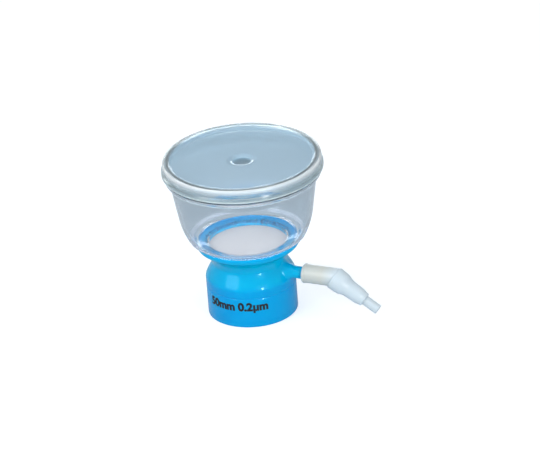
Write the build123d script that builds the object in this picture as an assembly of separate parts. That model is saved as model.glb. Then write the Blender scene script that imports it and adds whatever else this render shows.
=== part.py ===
"""Bottle-top vacuum filter with a 50 mm membrane, for a GL45 bottle neck.

Millimetres, +Z up. The origin is the middle of the mouth of the neck socket, on the underside of the base,
and the vacuum port points along +X.
"""

import os
from math import radians, sin

from build123d import *

# --- base: drum over the bottle neck, shoulder, waist and flared collar ---------------------------------
DRUM_R = 27.0
DRUM_EDGE = 0.6
GROOVE_Z = 18.7
GROOVE_WIDTH = 1.2
GROOVE_DEPTH = 0.3
SHOULDER_Z = 24.0
SHOULDER_TOP_R = 24.4
SHOULDER_TOP_Z = 27.6
WAIST_R = 22.4
WAIST_Z = 31.4
COLLAR_R = 30.2
COLLAR_BAND = 2.0
COLLAR_TOP_Z = 45.3

# --- neck socket, gasket shelf and vacuum chamber inside the base ---------------------------------------
NECK_R = 22.8
NECK_DEPTH = 19.8
NECK_LEAD = 0.8
GASKET_R = 22.2
GASKET_INNER_R = 15.4
GASKET_THICK = 1.8
GASKET_CLEARANCE = 0.2
SHELF_R = 17.4
SHELF_THICK = 2.2
CHAMBER_R = 19.8
CHAMBER_STRAIGHT = 9.2
CHAMBER_TOP_R = 22.0
CHAMBER_CONE = 5.0

# --- membrane and its support ---------------------------------------------------------------------------
MEMBRANE_R = 25.0
MEMBRANE_THICK = 0.3
MEMBRANE_DEPTH = 2.0
SEAT_CLEARANCE = 0.2
PLATE_THICK = 1.4
RIB_HEIGHT = 1.1
RIB_WIDTH = 0.9
RIB_PITCH = 3.3
RIB_COUNT = 5
LAND_R = 22.6
CHANNEL_WIDTH = 1.4
CHANNEL_COUNT = 8
DRAIN_R = 3.0
DRIP_WALL = 1.3
DRIP_LENGTH = 17.6
DRIP_SLANT = 3.0

# --- vacuum port ----------------------------------------------------------------------------------------
PORT_Z = 28.0
PORT_R = 3.75
PORT_BORE_R = 2.1
PORT_CHAMFER = 0.5
FAIRING_START_X = 18.5
FAIRING_START_R = 7.2
FAIRING_END_X = 29.2
FAIRING_FILLET = 3.0

# --- funnel ---------------------------------------------------------------------------------------------
FUNNEL_WALL = 1.6
OUTLET_WALL = 1.7
OUTLET_EDGE = 0.5
OUTLET_HEIGHT = 2.3
FOOT_OVERHANG = 1.0
FOOT_BAND = 0.9
FOOT_FLARE = 1.8
FOOT_HEIGHT = 3.1
FLOOR_STEP_IN = 4.9
FLOOR_STEP = 0.5
FLOOR_LIFT = 0.8
BOWL_LOW_R = 35.1
BOWL_LOW_RISE = 1.4
BOWL_TOP_R = 40.1
BOWL_HEIGHT = 14.2
WALL_HEIGHT = 20.4
COVE_WIDTH = 3.4
COVE_HEIGHT = 5.2
FLANGE_R = 46.8
FLANGE_THICK = 1.6
RIM_INSET = 1.4
RIM_WALL = 1.5
RIM_HEIGHT = 8.2

# --- lid ------------------------------------------------------------------------------------------------
LID_WALL = 1.6
LID_OVERHANG = 1.5
SKIRT_CLEARANCE = 1.3
SKIRT_BAND = 3.1
LID_STEP = 0.6
LID_DRAFT = 0.6
LID_EDGE = 1.2
LID_GAP = 0.3
LID_LEAD = 0.7
RING_WALL = 0.9
RING_DRAFT = 1.0
PANEL_SUNK = 2.4
PLUG_DEPTH = 1.2
GATE_OUTER_R = 7.4
GATE_INNER_R = 5.4
GATE_DISH = 0.9
GATE_WELL = 0.8

# --- hose connector and its cotton plug -----------------------------------------------------------------
SOCKET_X = 35.6
SOCKET_R = 5.65
SOCKET_RIM = 0.3
SOCKET_RIM_LENGTH = 1.2
SOCKET_RUNNING = 0.05
NOZZLE_IN_SOCKET = 7.3
SOCKET_STOP = 0.3
COTTON_R = 3.2
COTTON_LENGTH = 10.0
COTTON_GAP = 0.1
ELBOW_WALL = 1.0
BEND_DEG = 32.5
KNUCKLE_R = 7.0
KNUCKLE_LENGTH = 7.4
KNUCKLE_DRAFT = 0.3
LEG_R = 5.3
LEG_START = 10.4
LEG_STEP = 19.4
LEG_STEP_R = 4.95
LEG_NECK = 21.4
LEG_NECK_R = 4.4
LEG_LENGTH = 23.2
LEG_END_R = 4.2
TIP_R = 3.0
TIP_LENGTH = 9.9
TIP_CHAMFER = 0.4
TIP_BORE_R = 1.9
ELBOW_FILLET = 1.2

# --- places that follow from the sizes above ------------------------------------------------------------
FLARE_TOP_Z = COLLAR_TOP_Z - COLLAR_BAND
SHELF_Z = NECK_DEPTH + GASKET_THICK
CHAMBER_Z = SHELF_Z + SHELF_THICK
CHAMBER_CONE_Z = CHAMBER_Z + CHAMBER_STRAIGHT
CHAMBER_TOP_Z = CHAMBER_CONE_Z + CHAMBER_CONE
MEMBRANE_Z = COLLAR_TOP_Z - MEMBRANE_DEPTH
OUTLET_Z = MEMBRANE_Z + MEMBRANE_THICK
PLATE_TOP_Z = MEMBRANE_Z - RIB_HEIGHT
LAND_Z = PLATE_TOP_Z - PLATE_THICK
SEAT_R = MEMBRANE_R + SEAT_CLEARANCE
OUTLET_R = MEMBRANE_R - OUTLET_WALL
OUTLET_TOP_Z = COLLAR_TOP_Z + OUTLET_HEIGHT
FOOT_R = COLLAR_R + FOOT_OVERHANG
FOOT_STEP_R = FOOT_R + FOOT_FLARE
FOOT_STEP_Z = COLLAR_TOP_Z + FOOT_HEIGHT
BOWL_LOW_Z = FOOT_STEP_Z + BOWL_LOW_RISE
BOWL_TOP_Z = BOWL_LOW_Z + BOWL_HEIGHT
FLOOR_Z = BOWL_LOW_Z + FLOOR_LIFT
FLOOR_STEP_R = BOWL_LOW_R - FUNNEL_WALL - FLOOR_STEP_IN
WALL_TOP_R = FLANGE_R - COVE_WIDTH
WALL_TOP_Z = BOWL_TOP_Z + WALL_HEIGHT
FLANGE_Z = WALL_TOP_Z + COVE_HEIGHT
FLANGE_TOP_Z = FLANGE_Z + FLANGE_THICK
RIM_R = FLANGE_R - RIM_INSET
RIM_INNER_R = RIM_R - RIM_WALL
RIM_TOP_Z = FLANGE_TOP_Z + RIM_HEIGHT
LID_TOP_Z = RIM_TOP_Z + LID_WALL
LID_SKIRT_R = FLANGE_R + LID_OVERHANG
LID_SKIRT_Z = FLANGE_TOP_Z + SKIRT_CLEARANCE
LID_STEP_Z = LID_SKIRT_Z + SKIRT_BAND
PANEL_Z = LID_TOP_Z - PANEL_SUNK
PORT_END_X = SOCKET_X + NOZZLE_IN_SOCKET
COTTON_SPACE_X = PORT_END_X + SOCKET_STOP
COTTON_SPACE = COTTON_LENGTH + 2 * COTTON_GAP
ELBOW_X = COTTON_SPACE_X + COTTON_SPACE + ELBOW_WALL
UP = (Align.CENTER, Align.CENTER, Align.MIN)
SEAM_AWAY = Rot(0, 0, 180)      # puts the seam of a turned solid opposite the port


def at(radius, height):
    """Point of a half outline in the XZ plane."""
    return Vector(radius, 0, height)


def chain(*points):
    """Straight edges through the points of an outline."""
    return list(Polyline(*points).edges())


def arc(start, end, tangent):
    """Arc of an outline that leaves its start along the tangent."""
    return TangentArc(start, end, tangent=tangent).edge()


def turned(edges):
    """Solid of revolution about Z from a closed half outline."""
    return revolve(make_face(Wire(edges)), Axis.Z)


def round_bar(plane, radius, length, end_radius=None):
    """Cylinder, or cone, that stands on the plane."""
    if end_radius is None:
        return plane * Cylinder(radius, length, align=UP)
    return plane * Cone(radius, end_radius, length, align=UP)


def port_plane(x):
    """Plane across the port's axis."""
    return Plane(origin=(x, 0, PORT_Z), z_dir=(1, 0, 0))


def leg_plane(along):
    """Plane across the connector's second leg, at a distance from the elbow."""
    bend = Location((ELBOW_X, 0, PORT_Z), (0, 90 + BEND_DEG, 0))
    return Plane(bend * Location((0, 0, along)))


def base_outside():
    """Drum, shoulder, waist and flared collar, solid, with the port on the side."""
    shoulder_start = at(DRUM_R, SHOULDER_Z)
    shoulder_end = at(SHOULDER_TOP_R, SHOULDER_TOP_Z)
    waist = at(WAIST_R, WAIST_Z)
    flare_end = at(COLLAR_R, FLARE_TOP_Z)
    drum = chain(
        at(0, 0),
        at(DRUM_R - DRUM_EDGE, 0),
        at(DRUM_R, DRUM_EDGE),
        at(DRUM_R, GROOVE_Z - GROOVE_WIDTH / 2),
        at(DRUM_R - GROOVE_DEPTH, GROOVE_Z),
        at(DRUM_R, GROOVE_Z + GROOVE_WIDTH / 2),
        shoulder_start,
    )
    shoulder = arc(shoulder_start, shoulder_end, (-0.2, 0, 1))
    above_shoulder = arc(waist, shoulder_end, (0, 0, -1))
    flare = arc(waist, flare_end, (0, 0, 1))
    collar = chain(flare_end, at(COLLAR_R, COLLAR_TOP_Z), at(0, COLLAR_TOP_Z), at(0, 0))
    body = SEAM_AWAY * turned([*drum, shoulder, above_shoulder, flare, *collar])
    fairing_length = FAIRING_END_X - FAIRING_START_X
    fairing = round_bar(port_plane(FAIRING_START_X), FAIRING_START_R, fairing_length, PORT_R)
    nozzle = round_bar(port_plane(FAIRING_END_X), PORT_R, PORT_END_X - FAIRING_END_X)
    nozzle = chamfer(nozzle.edges().group_by(Axis.X)[-1], PORT_CHAMFER)
    outside = body + fairing + nozzle
    return fillet(outside.edges().filter_by(GeomType.BSPLINE), FAIRING_FILLET)


def base_inside():
    """Neck socket, gasket shelf, vacuum chamber and the seat of the support plate, as one space."""
    return SEAM_AWAY * turned(chain(
        at(0, 0),
        at(NECK_R + NECK_LEAD, 0),
        at(NECK_R, NECK_LEAD),
        at(NECK_R, NECK_DEPTH),
        at(GASKET_R + GASKET_CLEARANCE, NECK_DEPTH),
        at(GASKET_R + GASKET_CLEARANCE, SHELF_Z),
        at(SHELF_R, SHELF_Z),
        at(SHELF_R, CHAMBER_Z),
        at(CHAMBER_R, CHAMBER_Z),
        at(CHAMBER_R, CHAMBER_CONE_Z),
        at(CHAMBER_TOP_R, CHAMBER_TOP_Z),
        at(CHAMBER_TOP_R, LAND_Z),
        at(SEAT_R, LAND_Z),
        at(SEAT_R, COLLAR_TOP_Z),
        at(0, COLLAR_TOP_Z),
        at(0, 0),
    ))


def make_base():
    """Blue neck adaptor with its port, one moulding."""
    bore = round_bar(port_plane(SHELF_R), PORT_BORE_R, PORT_END_X - SHELF_R)
    return base_outside() - base_inside() - bore


def make_neck_gasket():
    """Soft ring under the shelf, which the bottle's lip presses on."""
    ring = Circle(GASKET_R) - Circle(GASKET_INNER_R)
    return Pos(0, 0, NECK_DEPTH) * extrude(ring, GASKET_THICK)


def make_support_plate():
    """Drain plate: rings of ribs cut by radial channels, and a slanted drip tube below the drain."""
    plate = Pos(0, 0, LAND_Z) * Cylinder(MEMBRANE_R, PLATE_THICK, align=UP)
    land = Circle(MEMBRANE_R) - Circle(LAND_R)
    ribs = Pos(0, 0, PLATE_TOP_Z) * extrude(land, RIB_HEIGHT)
    channels = Pos(0, 0, PLATE_TOP_Z) * PolarLocations(0, CHANNEL_COUNT) * Box(
        LAND_R, CHANNEL_WIDTH, RIB_HEIGHT, align=(Align.MIN, Align.CENTER, Align.MIN)
    )
    for index in range(1, RIB_COUNT + 1):
        outer = LAND_R - index * RIB_PITCH + RIB_WIDTH
        rib = extrude(Circle(outer) - Circle(outer - RIB_WIDTH), RIB_HEIGHT)
        ribs += Pos(0, 0, PLATE_TOP_Z) * rib - channels
    tube = Pos(0, 0, LAND_Z - DRIP_LENGTH) * Cylinder(DRAIN_R + DRIP_WALL, DRIP_LENGTH, align=UP)
    slant_width = 2 * (DRAIN_R + DRIP_WALL)
    slant = Plane.XZ * make_face(Polyline(
        (-slant_width / 2, 0), (slant_width / 2, 0), (slant_width / 2, DRIP_SLANT), (-slant_width / 2, 0)
    ))
    slant = Pos(0, slant_width / 2, LAND_Z - DRIP_LENGTH) * extrude(slant, slant_width)
    drain_length = DRIP_LENGTH + PLATE_THICK
    drain = Pos(0, 0, LAND_Z - DRIP_LENGTH) * Cylinder(DRAIN_R, drain_length, align=UP)
    return plate + ribs + (tube - slant) - drain


def make_membrane():
    """Filter disc on top of the ribs."""
    return Pos(0, 0, MEMBRANE_Z) * Cylinder(MEMBRANE_R, MEMBRANE_THICK, align=UP)


def wall_direction(sign):
    """Slope of the funnel's wall, upwards or downwards."""
    return (sign * (WALL_TOP_R - BOWL_TOP_R), 0, sign * (WALL_TOP_Z - BOWL_TOP_Z))


def make_funnel():
    """Clear bowl: outlet and foot, stepped floor, rounded bowl, drafted wall, stop flange and rim."""
    bowl_low = at(BOWL_LOW_R, BOWL_LOW_Z)
    bowl_top = at(BOWL_TOP_R, BOWL_TOP_Z)
    wall_top = at(WALL_TOP_R, WALL_TOP_Z)
    flange = at(FLANGE_R, FLANGE_Z)
    rim_foot = at(RIM_INNER_R, FLANGE_TOP_Z)
    inner_wall_top = at(WALL_TOP_R - FUNNEL_WALL, WALL_TOP_Z)
    inner_bowl_top = at(BOWL_TOP_R - FUNNEL_WALL, BOWL_TOP_Z)
    floor_edge = at(BOWL_LOW_R - FUNNEL_WALL, FLOOR_Z)
    floor_slope = (FLOOR_Z - OUTLET_TOP_Z) / (BOWL_LOW_R - FUNNEL_WALL - OUTLET_R - OUTLET_EDGE)
    floor_step_z = OUTLET_TOP_Z + floor_slope * (FLOOR_STEP_R - OUTLET_R - OUTLET_EDGE)
    outside = chain(
        at(OUTLET_R, OUTLET_Z),
        at(MEMBRANE_R, OUTLET_Z),
        at(MEMBRANE_R, COLLAR_TOP_Z),
        at(FOOT_R, COLLAR_TOP_Z),
        at(FOOT_R, COLLAR_TOP_Z + FOOT_BAND),
        at(FOOT_STEP_R, FOOT_STEP_Z),
        bowl_low,
    )
    bowl = arc(bowl_top, bowl_low, wall_direction(-1))
    wall = chain(bowl_top, wall_top)
    cove = arc(wall_top, flange, wall_direction(1))
    rim = chain(
        flange,
        at(FLANGE_R, FLANGE_TOP_Z),
        at(RIM_R, FLANGE_TOP_Z),
        at(RIM_R, RIM_TOP_Z),
        at(RIM_INNER_R, RIM_TOP_Z),
        rim_foot,
    )
    inner_cove = arc(inner_wall_top, rim_foot, wall_direction(1))
    inner_wall = chain(inner_wall_top, inner_bowl_top)
    inner_bowl = arc(inner_bowl_top, floor_edge, wall_direction(-1))
    floor = chain(
        floor_edge,
        at(FLOOR_STEP_R, floor_step_z),
        at(FLOOR_STEP_R, floor_step_z - FLOOR_STEP),
        at(OUTLET_R + OUTLET_EDGE, OUTLET_TOP_Z - FLOOR_STEP),
        at(OUTLET_R, OUTLET_TOP_Z - FLOOR_STEP - OUTLET_EDGE),
        at(OUTLET_R, OUTLET_Z),
    )
    return turned([*outside, bowl, *wall, cove, *rim, inner_cove, *inner_wall, inner_bowl, *floor])


def make_lid():
    """Clear lid: sunk panel with a gate recess, raised hollow ring and stepped skirt."""
    plug_r = RIM_INNER_R - LID_GAP
    ring_r = plug_r - RING_WALL
    skirt_inner_r = RIM_R + LID_GAP
    shoulder_r = LID_SKIRT_R - LID_STEP
    edge_r = shoulder_r - LID_DRAFT
    panel_under_z = PANEL_Z - LID_WALL
    well_z = PANEL_Z - GATE_DISH - GATE_WELL
    edge_start = at(edge_r, LID_TOP_Z - LID_EDGE)
    edge_end = at(edge_r - LID_EDGE, LID_TOP_Z)
    top = chain(
        at(0, well_z - LID_WALL),
        at(0, well_z),
        at(GATE_INNER_R, well_z),
        at(GATE_INNER_R, well_z + GATE_WELL),
        at(GATE_OUTER_R, PANEL_Z),
        at(ring_r, PANEL_Z),
        at(ring_r + RING_DRAFT, LID_TOP_Z),
        edge_end,
    )
    edge = arc(edge_start, edge_end, (0, 0, 1))
    skirt = chain(
        edge_start,
        at(shoulder_r, LID_STEP_Z),
        at(LID_SKIRT_R, LID_STEP_Z - LID_STEP),
        at(LID_SKIRT_R, LID_SKIRT_Z),
        at(LID_SKIRT_R - LID_WALL, LID_SKIRT_Z),
        at(skirt_inner_r, LID_STEP_Z - LID_STEP),
        at(skirt_inner_r, RIM_TOP_Z),
        at(plug_r, RIM_TOP_Z),
        at(plug_r, panel_under_z - PLUG_DEPTH + LID_LEAD),
        at(plug_r - LID_LEAD, panel_under_z - PLUG_DEPTH),
        at(plug_r - LID_WALL, panel_under_z - PLUG_DEPTH),
        at(plug_r - LID_WALL, panel_under_z),
        at(GATE_OUTER_R + LID_WALL, panel_under_z),
        at(GATE_INNER_R + LID_WALL, well_z - LID_WALL),
        at(0, well_z - LID_WALL),
    )
    return turned([*top, edge, *skirt])


def connector_outside():
    """First leg with its rim, and the second leg: knuckle, two tiers and the slim tip."""
    corner = KNUCKLE_R * sin(radians(BEND_DEG))
    leg = round_bar(port_plane(SOCKET_X), SOCKET_R, ELBOW_X + corner - SOCKET_X)
    rim = round_bar(port_plane(SOCKET_X), SOCKET_R + SOCKET_RIM, SOCKET_RIM_LENGTH)
    profile = make_face(Polyline(
        (0, 0),
        (KNUCKLE_R, 0),
        (KNUCKLE_R - KNUCKLE_DRAFT, KNUCKLE_LENGTH),
        (LEG_R, LEG_START),
        (LEG_STEP_R, LEG_STEP),
        (LEG_NECK_R, LEG_NECK),
        (LEG_END_R, LEG_LENGTH),
        (TIP_R, LEG_LENGTH),
        (TIP_R, LEG_LENGTH + TIP_LENGTH - TIP_CHAMFER),
        (TIP_R - TIP_CHAMFER, LEG_LENGTH + TIP_LENGTH),
        (0, LEG_LENGTH + TIP_LENGTH),
        (0, 0),
    ))
    second_leg = leg_plane(0).location * revolve(Plane.XZ * profile, Axis.Z)
    outside = leg + rim + second_leg
    return fillet(outside.edges().filter_by(GeomType.ELLIPSE), ELBOW_FILLET)


def connector_inside():
    """Socket for the port's nozzle, space of the cotton plug, and the bent air way."""
    socket = round_bar(port_plane(SOCKET_X), PORT_R + SOCKET_RUNNING, COTTON_SPACE_X - SOCKET_X)
    cotton_space = round_bar(port_plane(COTTON_SPACE_X), COTTON_R + COTTON_GAP, COTTON_SPACE)
    way_start = COTTON_SPACE_X + COTTON_SPACE
    way_in = round_bar(port_plane(way_start), TIP_BORE_R, ELBOW_X - way_start)
    turn = Pos(ELBOW_X, 0, PORT_Z) * Sphere(TIP_BORE_R)
    way_out = round_bar(leg_plane(0), TIP_BORE_R, LEG_LENGTH + TIP_LENGTH)
    return socket + cotton_space + way_in + turn + way_out


def make_hose_connector():
    """Bent, stepped hose connector, one moulding, which turns on the port's nozzle."""
    return connector_outside() - connector_inside()


def make_cotton_plug():
    """Plug of cotton wool in the connector's first leg."""
    return round_bar(port_plane(COTTON_SPACE_X + COTTON_GAP), COTTON_R, COTTON_LENGTH)


PIECES = {
    "base": make_base,
    "neck_gasket": make_neck_gasket,
    "support_plate": make_support_plate,
    "membrane": make_membrane,
    "funnel": make_funnel,
    "lid": make_lid,
    "hose_connector": make_hose_connector,
    "cotton_plug": make_cotton_plug,
}


def main():
    os.makedirs("parts", exist_ok=True)
    for name, make_piece in PIECES.items():
        export_step(make_piece(), f"parts/{name}.step")


if __name__ == "__main__":
    main()
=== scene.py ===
import math

import bmesh
import bpy
from mathutils import Matrix, Vector, noise


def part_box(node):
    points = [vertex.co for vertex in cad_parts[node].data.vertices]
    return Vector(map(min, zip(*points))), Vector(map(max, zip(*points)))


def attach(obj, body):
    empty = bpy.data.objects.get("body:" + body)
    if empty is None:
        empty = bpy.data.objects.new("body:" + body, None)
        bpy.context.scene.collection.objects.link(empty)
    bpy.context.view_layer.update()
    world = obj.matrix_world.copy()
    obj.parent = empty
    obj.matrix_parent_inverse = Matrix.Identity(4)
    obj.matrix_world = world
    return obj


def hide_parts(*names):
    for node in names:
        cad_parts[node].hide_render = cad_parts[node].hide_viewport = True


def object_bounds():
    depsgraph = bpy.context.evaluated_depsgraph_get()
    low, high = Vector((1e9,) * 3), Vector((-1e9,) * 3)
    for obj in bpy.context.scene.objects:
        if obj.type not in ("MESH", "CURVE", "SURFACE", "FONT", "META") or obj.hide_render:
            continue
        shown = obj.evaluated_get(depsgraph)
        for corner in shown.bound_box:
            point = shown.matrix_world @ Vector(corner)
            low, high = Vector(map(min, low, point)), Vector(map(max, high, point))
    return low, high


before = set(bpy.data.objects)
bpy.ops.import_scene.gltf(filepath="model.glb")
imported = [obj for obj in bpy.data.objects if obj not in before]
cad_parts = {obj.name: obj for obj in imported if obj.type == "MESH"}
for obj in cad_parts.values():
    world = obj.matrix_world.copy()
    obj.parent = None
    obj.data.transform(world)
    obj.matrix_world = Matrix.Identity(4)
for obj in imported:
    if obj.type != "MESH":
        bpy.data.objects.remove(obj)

cad_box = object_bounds()

MM = 0.001
UNIT = "base_unit"
LID = "lid"
CONNECTOR = "connector"
AROUND = 192

# The heights and widths that the pieces share come from the frame.
_, BASE_HIGH = (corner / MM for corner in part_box("base"))
_, FUNNEL_HIGH = (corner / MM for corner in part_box("funnel"))
LID_LOW, LID_HIGH = (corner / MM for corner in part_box("lid"))
SHEET_LOW, SHEET_HIGH = (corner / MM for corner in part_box("membrane"))
GASKET_LOW, GASKET_HIGH = (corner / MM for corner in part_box("neck_gasket"))
HOSE_LOW, _ = (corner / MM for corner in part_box("hose_connector"))
COTTON_LOW, COTTON_HIGH = (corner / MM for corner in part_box("cotton_plug"))

COLLAR_Z = BASE_HIGH.z
COLLAR_LIP = 1.4          # the collar's lip stands this far up round the clear foot
COLLAR_BORE_R = 30.2
DRUM_R = 27.0
DISC_R = 25.0
PORT_Z = 28.0
NOZZLE_R = 3.75
NOZZLE_BORE_R = 2.1
PORT_END = BASE_HIGH.x
SOCKET_X = HOSE_LOW.x
ELBOW_X = 54.4
BEND = math.radians(32.5)
WAY_R = 1.9
TIP_R = 3.0
RIM_R = 45.4
WELD = 0.04               # the melted foot of the bowl sits this far into what it is welded to


# ---------------------------------------------------------------- making meshes
def wire(bm, outline, turn=None):
    """Closed outline in the XZ plane, in millimetres, each corner rounded by its own size."""
    corners = [bm.verts.new((r * MM, 0, z * MM)) for r, z, _ in outline]
    for first, second in zip(corners, corners[1:] + corners[:1]):
        bm.edges.new((first, second))
    for size in sorted({c[2] for c in outline if c[2]}):
        chosen = [v for v, c in zip(corners, outline) if c[2] == size]
        bmesh.ops.bevel(
            bm, geom=chosen, offset=size * MM, offset_type="OFFSET",
            segments=3 if size < 0.7 else 6 if size < 2 else 16,
            profile=0.5, affect="VERTICES", material=-1,
        )
    if turn is not None:
        bmesh.ops.transform(bm, matrix=turn, verts=bm.verts)


def spin_closed(bm, axis=(0, 0, 1), centre=(0, 0, 0), steps=AROUND):
    """Turn the outline right round, and close its seam and poles."""
    bmesh.ops.spin(
        bm, geom=list(bm.verts) + list(bm.edges), cent=centre, axis=axis, dvec=(0, 0, 0),
        angle=2 * math.pi, steps=steps, use_merge=True, use_duplicate=False,
    )
    bmesh.ops.remove_doubles(bm, verts=bm.verts, dist=1e-6)
    bmesh.ops.dissolve_degenerate(bm, edges=bm.edges, dist=1e-7)
    loose = [e for e in bm.edges if not e.link_faces]
    bmesh.ops.delete(bm, geom=loose, context="EDGES")
    bmesh.ops.recalc_face_normals(bm, faces=bm.faces)


def finished(bm, name, material=None, crease=35):
    """Object from the bmesh, smooth apart from its sharp edges."""
    mesh = bpy.data.meshes.new(name)
    bm.to_mesh(mesh)
    bm.free()
    mesh.shade_smooth()
    mesh.set_sharp_from_angle(angle=math.radians(crease))
    piece = bpy.data.objects.new(name, mesh)
    bpy.context.scene.collection.objects.link(piece)
    if material:
        mesh.materials.append(material)
    return piece


def turned(name, outline, material=None):
    """Piece of revolution about Z."""
    bm = bmesh.new()
    wire(bm, outline)
    spin_closed(bm)
    return finished(bm, name, material)


def turned_on_port(name, outline, steps=96):
    """Piece of revolution about the port's axis; the outline is (radius, x, rounding)."""
    bm = bmesh.new()
    upright = Matrix(((0, 0, 1, 0), (0, 1, 0, 0), (1, 0, 0, PORT_Z * MM), (0, 0, 0, 1)))
    wire(bm, outline, upright)
    spin_closed(bm, axis=(1, 0, 0), centre=(0, 0, PORT_Z * MM), steps=steps)
    return finished(bm, name)


def turned_at(name, outline, place, steps=96):
    """Piece of revolution about its own Z, then put in its place."""
    bm = bmesh.new()
    wire(bm, outline)
    spin_closed(bm, steps=steps)
    bmesh.ops.transform(bm, matrix=place, verts=bm.verts)
    return finished(bm, name)


def combined(target, tools):
    """Join the tools to the target, or cut them out of it."""
    for operation, tool in tools:
        cut = target.modifiers.new(tool.name, "BOOLEAN")
        cut.operation = operation
        cut.solver = "EXACT"
        cut.object = tool
        graph = bpy.context.evaluated_depsgraph_get()
        made = bpy.data.meshes.new_from_object(target.evaluated_get(graph))
        target.modifiers.clear()
        target.data = made
        bpy.data.objects.remove(tool)
    bm = bmesh.new()
    bm.from_mesh(target.data)
    bmesh.ops.remove_doubles(bm, verts=bm.verts, dist=1e-6)
    bmesh.ops.dissolve_degenerate(bm, edges=bm.edges, dist=1e-7)
    bm.to_mesh(target.data)
    bm.free()
    target.data.shade_smooth()
    target.data.set_sharp_from_angle(angle=math.radians(35))


# ---------------------------------------------------------------- materials
def shader(name, **values):
    """Principled material with its plain values, as (material, nodes, links, principled)."""
    material = bpy.data.materials.new(name)
    material.use_nodes = True
    nodes, links = material.node_tree.nodes, material.node_tree.links
    plastic = nodes["Principled BSDF"]
    for socket, value in values.items():
        plastic.inputs[socket.replace("_", " ")].default_value = value
    return material, nodes, links, plastic


def grain(nodes, links, scale, detail=3.0, rough=0.5):
    """Noise on object coordinates."""
    place = nodes.new("ShaderNodeTexCoord")
    pattern = nodes.new("ShaderNodeTexNoise")
    pattern.inputs["Scale"].default_value = scale
    pattern.inputs["Detail"].default_value = detail
    pattern.inputs["Roughness"].default_value = rough
    links.new(place.outputs["Object"], pattern.inputs["Vector"])
    return pattern


def between(nodes, links, factor, low, high, start=0.35, end=0.65):
    """Colour that runs from low to high as the factor does."""
    ramp = nodes.new("ShaderNodeValToRGB")
    ramp.color_ramp.elements[0].position = start
    ramp.color_ramp.elements[1].position = end
    ramp.color_ramp.elements[0].color = (*low, 1)
    ramp.color_ramp.elements[1].color = (*high, 1)
    links.new(factor, ramp.inputs["Fac"])
    return ramp.outputs["Color"]


def ranged(nodes, links, factor, low, high):
    """Number that runs from low to high as the factor does."""
    spread = nodes.new("ShaderNodeMapRange")
    spread.inputs["To Min"].default_value = low
    spread.inputs["To Max"].default_value = high
    links.new(factor, spread.inputs["Value"])
    return spread.outputs["Result"]


def bumped(nodes, links, plastic, height, strength, depth):
    """Small relief on the surface."""
    bump = nodes.new("ShaderNodeBump")
    bump.inputs["Strength"].default_value = strength
    bump.inputs["Distance"].default_value = depth
    links.new(height, bump.inputs["Height"])
    links.new(bump.outputs["Normal"], plastic.inputs["Normal"])


def let_lamps_through(nodes, links, surface, tint):
    """Lamps reach what is behind the plastic, with the plastic's tint."""
    path = nodes.new("ShaderNodeLightPath")
    passing = nodes.new("ShaderNodeBsdfTransparent")
    passing.inputs["Color"].default_value = (*tint, 1)
    choice = nodes.new("ShaderNodeMixShader")
    links.new(path.outputs["Is Shadow Ray"], choice.inputs["Fac"])
    links.new(surface, choice.inputs[1])
    links.new(passing.outputs["BSDF"], choice.inputs[2])
    links.new(choice.outputs["Shader"], nodes["Material Output"].inputs["Surface"])


def along_axis(nodes, links, axis, start, end):
    """Place along an axis, 0 at the start and 1 at the end, both in millimetres."""
    place = nodes.new("ShaderNodeTexCoord")
    split = nodes.new("ShaderNodeSeparateXYZ")
    links.new(place.outputs["Object"], split.inputs["Vector"])
    along = nodes.new("ShaderNodeMapRange")
    along.inputs["From Min"].default_value = start * MM
    along.inputs["From Max"].default_value = end * MM
    links.new(split.outputs[axis], along.inputs["Value"])
    return along.outputs["Result"]


def blended(nodes, links, factor, first, second):
    """First colour where the factor is 0, second where it is 1; both come from other nodes."""
    mix = nodes.new("ShaderNodeMix")
    mix.data_type = "RGBA"
    links.new(factor, mix.inputs["Factor"])
    links.new(first, mix.inputs["A"])
    links.new(second, mix.inputs["B"])
    return mix.outputs["Result"]


def multiplied(nodes, links, first, second):
    """Product of two numbers that other nodes give."""
    product = nodes.new("ShaderNodeMath")
    product.operation = "MULTIPLY"
    links.new(first, product.inputs[0])
    links.new(second, product.inputs[1])
    return product.outputs["Value"]


def off_axis(nodes, links):
    """Distance from the unit's axis, 1 at 50 mm."""
    place = nodes.new("ShaderNodeTexCoord")
    flat = nodes.new("ShaderNodeVectorMath")
    flat.operation = "MULTIPLY"
    flat.inputs[1].default_value = (20.0, 20.0, 0.0)
    links.new(place.outputs["Object"], flat.inputs[0])
    radius = nodes.new("ShaderNodeVectorMath")
    radius.operation = "LENGTH"
    links.new(flat.outputs["Vector"], radius.inputs[0])
    return radius.outputs["Value"]


def zones(nodes, links, factor, stops):
    """Colour by zones: each stop is a position and a colour."""
    ramp = nodes.new("ShaderNodeValToRGB")
    elements = ramp.color_ramp.elements
    while len(elements) < len(stops):
        elements.new(1.0)
    for element, (position, colour) in zip(elements, stops):
        element.position = position
        element.color = (*colour, 1)
    links.new(factor, ramp.inputs["Fac"])
    return ramp.outputs["Color"]


def grey(value):
    """Plain number for the zones, which hold colours."""
    return (value, value, value)


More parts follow.
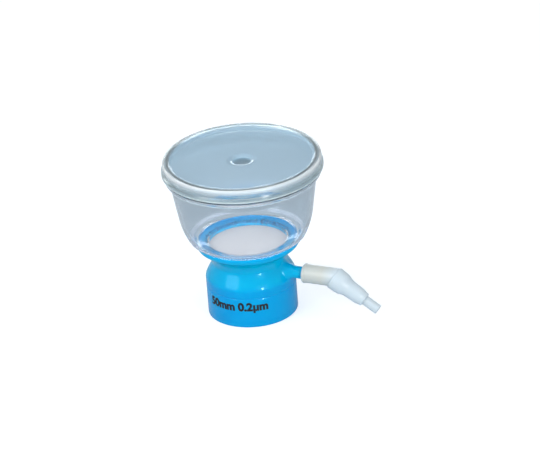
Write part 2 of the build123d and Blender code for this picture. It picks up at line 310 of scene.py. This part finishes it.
def bowl_polystyrene():
    """Clear plastic of the bowl, hazier on the outside of its thick foot."""
    material, nodes, links, plastic = shader("bowl_polystyrene", IOR=1.5, Specular_IOR_Level=0.4)
    clear, wall, lip = (0.95, 0.97, 0.99), (0.80, 0.86, 0.90), (0.78, 0.84, 0.88)
    height = along_axis(nodes, links, "Z", 45.0, 95.0)
    # the haze lies below 51 mm and beyond 33 mm from the axis
    low = zones(nodes, links, height, [(0.10, grey(1.0)), (0.13, grey(0.0))])
    outer = zones(nodes, links, off_axis(nodes, links), [(0.655, grey(0.0)), (0.665, grey(1.0))])
    foot = multiplied(nodes, links, low, outer)
    tint = zones(nodes, links, height, [(0.0, clear), (0.09, clear), (0.14, wall), (1.0, lip)])
    colour = nodes.new("ShaderNodeMix")
    colour.data_type = "RGBA"
    colour.inputs["B"].default_value = (0.84, 0.85, 0.93, 1)
    links.new(foot, colour.inputs["Factor"])
    links.new(tint, colour.inputs["A"])
    links.new(colour.outputs["Result"], plastic.inputs["Base Color"])
    links.new(ranged(nodes, links, foot, 0.99, 0.62), plastic.inputs["Transmission Weight"])
    flow = grain(nodes, links, 38.0, 4.0)
    links.new(ranged(nodes, links, flow.outputs["Fac"], 0.01, 0.05), plastic.inputs["Roughness"])
    ripple = grain(nodes, links, 120.0, 2.0)
    bumped(nodes, links, plastic, ripple.outputs["Fac"], 0.06, 0.0002)
    let_lamps_through(nodes, links, plastic.outputs["BSDF"], (0.97, 0.97, 0.97))
    return material


def lid_polystyrene():
    """Lid plastic: matt panel, gate recess darkened with painted shade, clear ring, pale outer edge that is
    a painted highlight, and greyer skirt.
    """
    material, nodes, links, plastic = shader("lid_polystyrene", IOR=1.5)
    out = off_axis(nodes, links)
    cloud = grain(nodes, links, 45.0, 3.0)

    def by_zone(gate, panel, ring, edge, skirt):
        """Gate to 5 mm from the axis, panel to 43.6, ring to 46.3, edge to 47.4 and skirt beyond."""
        return zones(nodes, links, out, [
            (0.098, gate), (0.112, panel), (0.872, panel), (0.888, ring),
            (0.926, ring), (0.932, edge), (0.947, edge), (0.951, skirt),
        ])

    # The dark gate colour is painted shade in the gate recess.
    # The pale edge colour is a painted highlight along the rounded outer top edge.
    gate, ring, edge, skirt = (0.27, 0.40, 0.48), (0.74, 0.82, 0.84), (0.95, 0.98, 1.0), (0.57, 0.66, 0.66)
    dull, bright = (0.52, 0.69, 0.80), (0.56, 0.73, 0.84)
    mottled = blended(
        nodes, links, cloud.outputs["Fac"],
        by_zone(gate, dull, ring, edge, skirt), by_zone(gate, bright, ring, edge, skirt),
    )
    links.new(mottled, plastic.inputs["Base Color"])
    # The edge zone's low transmission keeps its painted highlight pale.
    links.new(
        by_zone(grey(0.68), grey(0.68), grey(0.93), grey(0.45), grey(0.95)),
        plastic.inputs["Transmission Weight"],
    )
    links.new(
        by_zone(grey(0.16), grey(0.16), grey(0.08), grey(0.08), grey(0.15)), plastic.inputs["Roughness"],
    )
    ripple = grain(nodes, links, 140.0, 2.0)
    bumped(nodes, links, plastic, ripple.outputs["Fac"], 0.06, 0.0002)
    let_lamps_through(nodes, links, plastic.outputs["BSDF"], (0.92, 0.94, 0.95))
    return material


def blue_polypropylene():
    """Translucent blue moulding: cloudy colour, satin gloss and a faint moulded texture."""
    material, nodes, links, plastic = shader(
        "blue_adaptor_plastic", IOR=1.49, Subsurface_Weight=0.3, Subsurface_Radius=(0.1, 0.6, 1.0),
        Subsurface_Scale=0.003, Specular_Tint=(0.4, 0.8, 1.0, 1), Specular_IOR_Level=0.4,
    )
    cloud = grain(nodes, links, 30.0, 2.0)
    # The blue is darker on the drum and lighter from 22 to 26.5 mm up; thick and thin only name these two
    # tones.
    thick = between(nodes, links, cloud.outputs["Fac"], (0.0, 0.33, 0.73), (0.0, 0.385, 0.77))
    thin = between(nodes, links, cloud.outputs["Fac"], (0.0, 0.43, 0.75), (0.0, 0.485, 0.77))
    seat = between(nodes, links, cloud.outputs["Fac"], (0.0, 0.38, 0.74), (0.0, 0.47, 0.84))
    body = blended(nodes, links, along_axis(nodes, links, "Z", 22.0, 26.5), thick, thin)
    topped = blended(nodes, links, along_axis(nodes, links, "Z", 44.8, 45.2), body, seat)
    links.new(topped, plastic.inputs["Base Color"])
    speck = grain(nodes, links, 420.0, 3.0)
    links.new(ranged(nodes, links, speck.outputs["Fac"], 0.09, 0.18), plastic.inputs["Roughness"])
    bumped(nodes, links, plastic, speck.outputs["Fac"], 0.08, 0.00006)
    return material


def white_membrane():
    """Matte filter disc with a fine felted grain."""
    material, nodes, links, plastic = shader("membrane_sheet", Roughness=0.85, IOR=1.4)
    felt = grain(nodes, links, 2600.0, 6.0, 0.7)
    soft = grain(nodes, links, 60.0, 2.0)
    mixed = multiplied(nodes, links, felt.outputs["Fac"], soft.outputs["Fac"])
    colour = between(nodes, links, mixed, (0.80, 0.71, 0.70), (0.88, 0.78, 0.76), 0.1, 0.45)
    links.new(colour, plastic.inputs["Base Color"])
    bumped(nodes, links, plastic, felt.outputs["Fac"], 0.4, 0.00005)
    return material


def milky_connector():
    """Milky connector: creamy over the cotton, bluish and clearer along the empty leg."""
    material, nodes, links, plastic = shader(
        "connector_plastic", IOR=1.49, Subsurface_Weight=0.4, Subsurface_Radius=(1.0, 0.9, 0.8),
        Subsurface_Scale=0.003, Transmission_Weight=0.15, Coat_Weight=0.2, Coat_Roughness=0.15,
    )
    along = along_axis(nodes, links, "X", ELBOW_X - 6, ELBOW_X + 3)
    colour = between(nodes, links, along, (0.66, 0.69, 0.65), (0.68, 0.79, 0.86), 0.0, 1.0)
    links.new(colour, plastic.inputs["Base Color"])
    speck = grain(nodes, links, 500.0, 3.0)
    links.new(ranged(nodes, links, speck.outputs["Fac"], 0.25, 0.45), plastic.inputs["Roughness"])
    bumped(nodes, links, plastic, speck.outputs["Fac"], 0.2, 0.00008)
    return material


def plain_finish(name, low, high, rough, scale, relief, depth):
    """Opaque finish with a mottled colour and a fine relief."""
    material, nodes, links, plastic = shader(name, Roughness=rough)
    mottle = grain(nodes, links, scale, 4.0)
    links.new(between(nodes, links, mottle.outputs["Fac"], low, high), plastic.inputs["Base Color"])
    bumped(nodes, links, plastic, mottle.outputs["Fac"], relief, depth)
    return material


LID_PLASTIC = lid_polystyrene()
BOWL_PLASTIC = bowl_polystyrene()
BLUE = blue_polypropylene()
MEMBRANE = white_membrane()
MILKY = milky_connector()
DEEP_BLUE = plain_finish("weld_blue", (0.0, 0.17, 0.36), (0.0, 0.28, 0.55), 0.3, 700.0, 0.1, 0.00004)
INK = plain_finish("black_print", (0.002, 0.003, 0.006), (0.008, 0.009, 0.014), 0.7, 800.0, 0.2, 0.00003)
SILICONE = plain_finish("gasket_silicone", (0.72, 0.73, 0.71), (0.78, 0.78, 0.76), 0.45, 200.0, 0.2, 0.00008)
PLATE = plain_finish("plate_plastic", (0.74, 0.77, 0.80), (0.80, 0.82, 0.85), 0.4, 300.0, 0.2, 0.00006)
COTTON = plain_finish("cotton_wool", (0.78, 0.76, 0.70), (0.88, 0.86, 0.80), 0.95, 900.0, 0.9, 0.0004)


# ---------------------------------------------------------------- pieces of the unit
def swell_for_port(base):
    """Draw the waist and shoulder out into the cone that carries the port, with a soft blend."""
    bm = bmesh.new()
    bm.from_mesh(base.data)
    near = []
    for face in bm.faces:
        x, y, z = face.calc_center_median() / MM
        if x > 17 and abs(y) < 11 and 17 < z < 41:
            near.append(face)
    edges = list({e for f in near for e in f.edges})
    bmesh.ops.subdivide_edges(bm, edges=edges, cuts=3, use_grid_fill=True)
    blend = 4.5
    cone_x, cone_r, steepness = 18.5, 7.2, 10.7 / 3.45
    for v in bm.verts:
        x, y, z = v.co / MM
        if x < 12 or abs(y) > 12 or not 15 < z < 42:
            continue
        from_port = math.hypot(y, z - PORT_Z)
        cone = cone_x + (cone_r - max(from_port, NOZZLE_R - 0.05)) * steepness
        near_crease = max(blend - abs(x - cone), 0.0) / blend
        v.co.x = (max(x, cone) + near_crease ** 2 * blend / 4) * MM
    bmesh.ops.triangulate(bm, faces=[f for f in bm.faces if len(f.verts) > 4])
    bm.to_mesh(base.data)
    bm.free()


def make_base():
    """Neck adaptor: drum, shoulder, waist and flare, with the port joined to its side."""
    outside = [
        (0, 0, 0),
        (DRUM_R, 0, 0.6),
        (DRUM_R, 18.1, 0.15),
        (DRUM_R - 0.3, 18.7, 0.2),
        (DRUM_R, 19.3, 0.15),
        (DRUM_R, 24.0, 0.4),
        (26.3, 26.0, 2.0),
        (22.5, 32.4, 4.5),
        (22.7, 37.4, 4.0),
        (26.0, 40.9, 4.0),
        (30.4, 43.5, 0.6),
        (31.0, 44.8, 0.6),
        (31.0, COLLAR_Z + COLLAR_LIP, 0.4),
        (COLLAR_BORE_R, COLLAR_Z + COLLAR_LIP, 0.2),
        (COLLAR_BORE_R, COLLAR_Z, 0),
        (0, COLLAR_Z, 0),
    ]
    shelf_hole_r, shelf_z = 17.4, 23.8
    chamber_r, land_r, land_z = 19.8, 22.0, 40.8
    inside = [
        (0, -1.0, 0),
        (24.6, -1.0, 0),
        (22.8, 0.8, 0.2),
        (22.8, GASKET_LOW.z, 0),
        (22.4, GASKET_LOW.z, 0),
        (22.4, GASKET_HIGH.z, 0),
        (shelf_hole_r, GASKET_HIGH.z, 0.3),
        (shelf_hole_r, shelf_z, 0.3),
        (chamber_r, shelf_z, 0),
        (chamber_r, 33.0, 0.5),
        (land_r, 38.0, 0.5),
        (land_r, land_z, 0),
        (25.2, land_z, 0),
        (25.2, COLLAR_Z + 1.0, 0),
        (0, COLLAR_Z + 1.0, 0),
    ]
    inner, start, beyond = 17.4, 24.0, PORT_END + 1
    port = [(0, start, 0), (NOZZLE_R, start, 0), (NOZZLE_R, PORT_END, 0.5), (0, PORT_END, 0)]
    bore = [(0, inner, 0), (NOZZLE_BORE_R, inner, 0), (NOZZLE_BORE_R, beyond, 0), (0, beyond, 0)]
    base = turned("blue_adaptor", outside)
    swell_for_port(base)
    combined(base, [
        ("UNION", turned_on_port("port_shape", port)),
        ("DIFFERENCE", turned("inner_space", inside)),
        ("DIFFERENCE", turned_on_port("port_bore", bore, 48)),
    ])
    base.data.materials.clear()
    base.data.materials.append(BLUE)
    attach(base, UNIT)
    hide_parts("base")


def make_funnel():
    """Clear bowl with its stepped foot, rounded bottom, drafted wall, stop flange and rim."""
    step = COLLAR_Z + COLLAR_LIP + 0.3
    flange_r, flange_top = 46.8, 91.2
    rim, rim_wall = FUNNEL_HIGH.z, 1.5
    outline = [
        (23.3, SHEET_HIGH.z - WELD, 0.1),
        (DISC_R, SHEET_HIGH.z - WELD, 0.1),
        (DISC_R, COLLAR_Z - WELD, 0.1),
        (COLLAR_BORE_R + WELD, COLLAR_Z - WELD, 0),
        (COLLAR_BORE_R + WELD, step, 0.1),
        (31.4, step, 0.2),
        (33.0, 48.4, 0.5),
        (35.1, 49.8, 0.4),
        (38.88, 56.45, 7.1),
        (43.94, 87.76, 3.3),
        (flange_r, 89.6, 0.25),
        (flange_r, flange_top, 0.3),
        (RIM_R, flange_top, 0.3),
        (RIM_R, rim, 0.4),
        (RIM_R - rim_wall, rim, 0.4),
        (RIM_R - rim_wall, flange_top, 1.0),
        (42.37, 87.94, 2.2),
        (37.34, 56.8, 6.6),
        (33.5, 50.6, 0.6),
        (28.6, 49.08, 0.2),
        (28.6, 48.58, 0.2),
        (23.8, 47.1, 0.3),
        (23.3, 46.6, 0.25),
    ]
    funnel = turned("clear_bowl", outline, BOWL_PLASTIC)
    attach(funnel, UNIT)
    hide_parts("funnel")


def make_lid():
    """Clear lid: gate recess, sunk panel, raised ring and stepped skirt."""
    top, seat = LID_HIGH.z, FUNNEL_HIGH.z
    panel = top - 2.4
    underside = panel - 1.6
    skirt_r, skirt_step, plug_low = 48.3, 95.0, 95.8
    outline = [
        (0, panel - 3.3, 0),
        (0, panel - 1.7, 0),
        (5.4, panel - 1.7, 0.35),
        (5.4, panel - 0.9, 0.25),
        (7.4, panel, 0.9),
        (42.7, panel, 0.9),
        (43.7, top, 0.7),
        (47.1, top, 2.0),
        (47.7, skirt_step + 0.6, 0.25),
        (skirt_r, skirt_step, 0.25),
        (skirt_r, LID_LOW.z, 0.6),
        (46.7, LID_LOW.z, 0.3),
        (RIM_R + 0.3, skirt_step, 0.4),
        (RIM_R + 0.3, seat, 0.2),
        (43.6, seat, 0.2),
        (43.6, plug_low + 0.7, 0.1),
        (42.9, plug_low, 0.1),
        (42.0, plug_low, 0.3),
        (42.0, underside, 0.5),
        (9.0, underside, 0.9),
        (7.0, panel - 3.3, 0.6),
    ]
    lid = turned("clear_lid", outline, LID_PLASTIC)
    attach(lid, LID)
    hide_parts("lid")


def make_membrane():
    """Filter disc with a softly rounded edge."""
    disc = turned("filter_disc", [
        (0, SHEET_LOW.z, 0), (DISC_R, SHEET_LOW.z, 0.1), (DISC_R, SHEET_HIGH.z, 0.1), (0, SHEET_HIGH.z, 0),
    ], MEMBRANE)
    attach(disc, UNIT)
    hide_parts("membrane")


def make_gasket():
    """Soft ring with rounded edges in the roof of the neck socket."""
    gasket = turned("soft_gasket", [
        (15.4, GASKET_LOW.z, 0.4), (22.2, GASKET_LOW.z, 0.4),
        (22.2, GASKET_HIGH.z, 0.3), (15.4, GASKET_HIGH.z, 0.3),
    ], SILICONE)
    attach(gasket, UNIT)
    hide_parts("neck_gasket")


def make_weld():
    """Blue weld flash round the disc: a thin bead that swells into small lumps."""
    bm = bmesh.new()
    ring = 25.9 * MM
    middle = Vector((ring, 0, (COLLAR_Z + 0.05) * MM))
    section = bmesh.ops.create_circle(
        bm, cap_ends=False, segments=8, radius=0.45 * MM,
        matrix=Matrix.Translation(middle) @ Matrix.Rotation(math.pi / 2, 4, "X"),
    )
    bmesh.ops.spin(
        bm, geom=section["verts"] + list(bm.edges), cent=(0, 0, 0), axis=(0, 0, 1), dvec=(0, 0, 0),
        angle=2 * math.pi, steps=720, use_merge=True, use_duplicate=False,
    )
    bmesh.ops.remove_doubles(bm, verts=bm.verts, dist=1e-7)
    for v in bm.verts:
        angle = math.atan2(v.co.y, v.co.x)
        centre = Vector((ring * math.cos(angle), ring * math.sin(angle), middle.z))
        round_it = centre / (1.1 * MM)
        lumps = max(0.0, noise.noise(round_it) + 0.5 * noise.noise(round_it * 2.3))
        v.co = centre + (v.co - centre) * (0.55 + 3.6 * lumps)
    bmesh.ops.recalc_face_normals(bm, faces=bm.faces)
    weld = finished(bm, "weld_flash", DEEP_BLUE, 60)
    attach(weld, UNIT)


def make_thread():
    """Two turns of the bottle thread inside the drum."""
    bm = bmesh.new()
    pitch, turns, steps = 4.0, 2.1, 240
    low = 3.0
    ridge = [(22.85, low), (22.85, low + 2.5), (21.6, low + 1.7), (21.6, low + 0.8)]
    corners = [bm.verts.new((r * MM, 0, z * MM)) for r, z in ridge]
    face = bm.faces.new(corners)
    bmesh.ops.spin(
        bm, geom=[face, *face.verts, *face.edges], cent=(0, 0, 0), axis=(0, 0, 1),
        dvec=(0, 0, pitch * turns / steps * MM), angle=2 * math.pi * turns, steps=steps,
        use_merge=False, use_duplicate=False,
    )
    bmesh.ops.remove_doubles(bm, verts=bm.verts, dist=1e-7)
    bmesh.ops.holes_fill(bm, edges=bm.edges, sides=4)
    bmesh.ops.recalc_face_normals(bm, faces=bm.faces)
    thread = finished(bm, "neck_thread", BLUE)
    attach(thread, UNIT)


def make_connector():
    """Bent, stepped hose connector: two turned legs joined at the elbow, and the bent way through them."""
    elbow = Matrix.Translation((ELBOW_X * MM, 0, PORT_Z * MM)) @ Matrix.Rotation(math.pi / 2 + BEND, 4, "Y")
    tip, end = 23.2, 33.1
    socket_leg = [
        (0, SOCKET_X, 0),
        (5.95, SOCKET_X, 0.4),
        (5.95, SOCKET_X + 1.2, 0.25),
        (5.65, SOCKET_X + 1.5, 0.2),
        (5.65, ELBOW_X + 3.6, 0.9),
        (0, ELBOW_X + 3.6, 0),
    ]
    tip_leg = [
        (0, 0, 0),
        (7.0, 0, 1.1),
        (6.75, 7.6, 2.0),
        (5.3, 10.4, 1.6),
        (4.95, 19.4, 1.0),
        (4.35, 21.4, 0.8),
        (4.2, tip, 0.5),
        (TIP_R, tip, 0.15),
        (TIP_R, end, 0.4),
        (0, end, 0),
    ]
    cotton, cotton_end = COTTON_LOW.x - 0.1, COTTON_HIGH.x + 0.1
    socket = [
        (0, SOCKET_X - 1.0, 0),
        (4.4, SOCKET_X - 1.0, 0),
        (4.4, SOCKET_X, 0),
        (3.8, SOCKET_X + 0.6, 0.1),
        (3.8, cotton, 0.1),
        (3.3, cotton, 0.1),
        (3.3, cotton_end, 0.1),
        (WAY_R, cotton_end, 0.1),
        (WAY_R, ELBOW_X + 0.4, 0),
        (0, ELBOW_X + 0.4, 0),
    ]
    way = [(0, -0.4, 0), (WAY_R, -0.4, 0), (WAY_R, end + 1.0, 0), (0, end + 1.0, 0)]
    hose = turned_on_port("hose_elbow", socket_leg)
    combined(hose, [
        ("UNION", turned_at("tip_leg", tip_leg, elbow)),
        ("DIFFERENCE", turned_on_port("socket_space", socket, 80)),
        ("DIFFERENCE", turned_at("way_out", way, elbow, 48)),
    ])
    hose.data.materials.clear()
    hose.data.materials.append(MILKY)
    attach(hose, CONNECTOR)
    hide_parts("hose_connector")


def make_cotton():
    """Cotton plug: a short roll with a ruffled surface."""
    bm = bmesh.new()
    length = COTTON_HIGH.x - COTTON_LOW.x
    centre = Vector(((COTTON_LOW.x + COTTON_HIGH.x) / 2, 0, PORT_Z)) * MM
    lay = Matrix.Translation(centre) @ Matrix.Rotation(math.pi / 2, 4, "Y")
    bmesh.ops.create_cone(
        bm, cap_ends=True, segments=64, radius1=3.15 * MM, radius2=3.15 * MM, depth=(length - 0.1) * MM,
        matrix=lay,
    )
    rims = [e for e in bm.edges if any(len(f.verts) > 4 for f in e.link_faces)]
    bmesh.ops.bevel(
        bm, geom=rims, offset=0.8 * MM, offset_type="OFFSET", segments=5, profile=0.5,
        affect="EDGES", material=-1,
    )
    sides = [e for e in bm.edges if e.calc_length() > 2 * MM]
    bmesh.ops.subdivide_edges(bm, edges=sides, cuts=24, use_grid_fill=True)
    for v in bm.verts:
        inward = (centre - v.co).normalized()
        v.co += inward * 0.16 * MM * (1 + noise.noise(v.co / (0.9 * MM)))
    bmesh.ops.recalc_face_normals(bm, faces=bm.faces)
    cotton = finished(bm, "cotton_roll", COTTON, 80)
    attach(cotton, CONNECTOR)
    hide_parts("cotton_plug")


def make_print():
    """Plain words printed round the drum: the disc's width and its pore size."""
    words = bpy.data.curves.new("drum_print", "FONT")
    words.body = "50mm 0.2\u00b5m"
    words.size = 7.2 * MM
    words.align_x = "CENTER"
    words.offset = 0.34 * MM
    words.extrude = 0.04 * MM
    flat = bpy.data.objects.new("drum_print_flat", words)
    bpy.context.scene.collection.objects.link(flat)
    graph = bpy.context.evaluated_depsgraph_get()
    mesh = bpy.data.meshes.new_from_object(flat.evaluated_get(graph))
    bpy.data.objects.remove(flat)
    bm = bmesh.new()
    bm.from_mesh(mesh)
    bmesh.ops.remove_doubles(bm, verts=bm.verts, dist=1e-7)
    wide = 38.8 * MM
    low = min(v.co.x for v in bm.verts)
    high = max(v.co.x for v in bm.verts)
    bmesh.ops.scale(bm, vec=(wide / (high - low), 1, 1), verts=bm.verts)
    strips = 40
    for step in range(1, strips):
        cut = (step / strips - 0.5) * wide
        bmesh.ops.bisect_plane(
            bm, geom=list(bm.verts) + list(bm.edges) + list(bm.faces), dist=1e-7,
            plane_co=(cut, 0, 0), plane_no=(1, 0, 0),
        )
    middle, foot = math.radians(4.3), 11.3 * MM
    # The letters face outwards as they are made, and bending them round the drum keeps that.
    for v in bm.verts:
        angle = middle + v.co.x / (DRUM_R * MM)
        out = (DRUM_R + 0.02) * MM + v.co.z
        v.co = Vector((out * math.sin(angle), -out * math.cos(angle), foot + v.co.y))
    text = finished(bm, "drum_print", INK, 60)
    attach(text, UNIT)


def finish_plate():
    """The support plate keeps its solid and gets its own plastic."""
    node = bpy.data.objects["support_plate"]
    for part in node.material_slots:
        part.material = PLATE


# ---------------------------------------------------------------- stage, light and camera
def seen_by(nodes, links, eye, gloss_and_glass, rest):
    """Strength for the eye, for gloss and glass, and for the light that falls on things."""
    path = nodes.new("ShaderNodeLightPath")
    either = nodes.new("ShaderNodeMath")
    either.operation = "MAXIMUM"
    links.new(path.outputs["Is Glossy Ray"], either.inputs[0])
    links.new(path.outputs["Is Transmission Ray"], either.inputs[1])
    behind = ranged(nodes, links, either.outputs["Value"], rest, gloss_and_glass)
    front = nodes.new("ShaderNodeMapRange")
    front.inputs["To Max"].default_value = eye
    links.new(path.outputs["Is Camera Ray"], front.inputs["Value"])
    links.new(behind, front.inputs["To Min"])
    return front.outputs["Result"]


def make_stage():
    """Pale floor that keeps the shadow and is white to the eye."""
    bm = bmesh.new()
    bmesh.ops.create_grid(bm, x_segments=1, y_segments=1, size=6.0)
    bmesh.ops.translate(bm, vec=(0, 0, -0.00005), verts=bm.verts)
    material, nodes, links, paint = shader(
        "pale_floor", Base_Color=(0.50, 0.56, 0.62, 1), Roughness=0.9, Specular_IOR_Level=0.0,
    )
    floor = finished(bm, "floor", material)
    glow = nodes.new("ShaderNodeEmission")
    glow.inputs["Color"].default_value = (1, 1, 1, 1)
    links.new(seen_by(nodes, links, 0.64, 0.08, 0.0), glow.inputs["Strength"])
    both = nodes.new("ShaderNodeAddShader")
    links.new(paint.outputs["BSDF"], both.inputs[0])
    links.new(glow.outputs["Emission"], both.inputs[1])
    links.new(both.outputs["Shader"], nodes["Material Output"].inputs["Surface"])


def make_world():
    """Even pale surroundings, white to the eye."""
    world = bpy.data.worlds.new("studio")
    bpy.context.scene.world = world
    world.use_nodes = True
    nodes, links = world.node_tree.nodes, world.node_tree.links
    nodes["Background"].inputs["Color"].default_value = (0.96, 0.98, 1.0, 1)
    links.new(seen_by(nodes, links, 1.0, 0.61, 0.42), nodes["Background"].inputs["Strength"])


def softbox(name, toward, distance, size, power, target=(0.0, 0.0, 0.05)):
    """Area lamp that looks at the unit from a direction."""
    lamp = bpy.data.lights.new(name, "AREA")
    lamp.shape = "RECTANGLE"
    lamp.size, lamp.size_y = size
    lamp.energy = power
    holder = bpy.data.objects.new(name, lamp)
    direction = Vector(toward).normalized()
    holder.location = Vector(target) + direction * distance
    holder.rotation_euler = direction.to_track_quat("Z", "Y").to_euler()
    bpy.context.scene.collection.objects.link(holder)


def make_lights():
    softbox("key", (-0.42, -0.80, 0.50), 1.0, (0.6, 0.6), 3.5)
    softbox("bar", (-0.45, -0.60, 0.85), 1.0, (1.4, 0.10), 2.2)
    softbox("strip", (0.79, -0.61, 0.13), 0.8, (0.014, 0.24), 2.2)
    softbox("top", (0.2, -0.1, 1.0), 1.1, (0.8, 0.8), 2.0)
    softbox("side", (0.9, -0.7, 0.25), 1.2, (0.6, 0.6), 0.9)
    softbox("left", (-0.93, 0.28, 0.22), 1.2, (0.2, 0.4), 0.5)
    softbox("window", (-0.39, 0.81, 0.16), 1.2, (0.9, 0.16), 2.0)


def make_camera():
    """Long lens from the front right and above, leaning a little."""
    azimuth, rise, lean = math.radians(26.0), math.radians(26.2), math.radians(4.4)
    low, high = cad_box
    middle = (low + high) / 2
    aim = Vector((middle.x - 2.0 * MM, 0, middle.z + 7.4 * MM))
    back = Vector((math.sin(azimuth) * math.cos(rise), -math.cos(azimuth) * math.cos(rise), math.sin(rise)))
    level = Vector((math.cos(azimuth), math.sin(azimuth), 0))
    upright = back.cross(level)
    right = math.cos(lean) * level - math.sin(lean) * upright
    up = back.cross(right)
    aim -= right * 0.36 * MM + up * 0.6 * MM
    lens = bpy.data.cameras.new("camera")
    lens.sensor_width = 36.0
    lens.lens = 306.0
    lens.clip_end = 20.0
    camera = bpy.data.objects.new("camera", lens)
    turn = Matrix((right, up, back)).transposed().to_4x4()
    camera.matrix_world = Matrix.Translation(aim + back * 2.73) @ turn
    bpy.context.scene.collection.objects.link(camera)
    bpy.context.scene.camera = camera


make_base()
make_funnel()
make_lid()
make_membrane()
make_gasket()
make_weld()
make_thread()
make_connector()
make_cotton()
make_print()
finish_plate()
make_stage()
make_world()
make_lights()
make_camera()
bpy.context.scene.view_settings.view_transform = "Standard"
bpy.context.scene.cycles.glossy_bounces = 12
